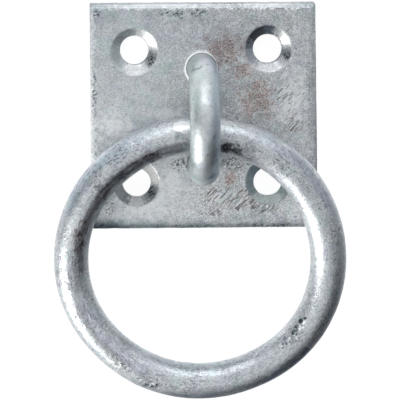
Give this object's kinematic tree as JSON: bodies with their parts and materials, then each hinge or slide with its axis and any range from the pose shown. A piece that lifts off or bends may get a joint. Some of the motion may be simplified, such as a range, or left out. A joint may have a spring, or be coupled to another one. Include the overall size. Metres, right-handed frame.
{
  "type": "ring on plate",
  "caption": "Square screw-on plate with a bent rod staple that carries a loose welded ring, for tying or hooking on.",
  "frame": {"origin": "centre of the screw hole pattern, on the plate's back face", "axes": "+Z out of the plate's front, along the staple; +Y away from the side that the ring is laid on; +X to the right, seen from the front with the ring at the bottom"},
  "size_m": [0.0664, 0.0902, 0.0308],
  "materials": {
    "galvanised_plate": "hot-dip galvanised, mottled and stained",
    "galvanised_staple": "hot-dip galvanised, smooth",
    "galvanised_ring": "hot-dip galvanised, pitted at the weld"
  },
  "bodies": {
    "fixed_plate": {"base_plate": "galvanised_plate", "staple": "galvanised_staple"},
    "loose_ring": {"ring": "galvanised_ring"}
  },
  "joints": [
    {"name": "ring_swing", "type": "hinge", "parent": "fixed_plate", "child": "loose_ring", "pos_m": [0, -0.0032, 0.01313], "axis": [-1, 0, 0], "range_deg": [0, 198]}
  ]
}
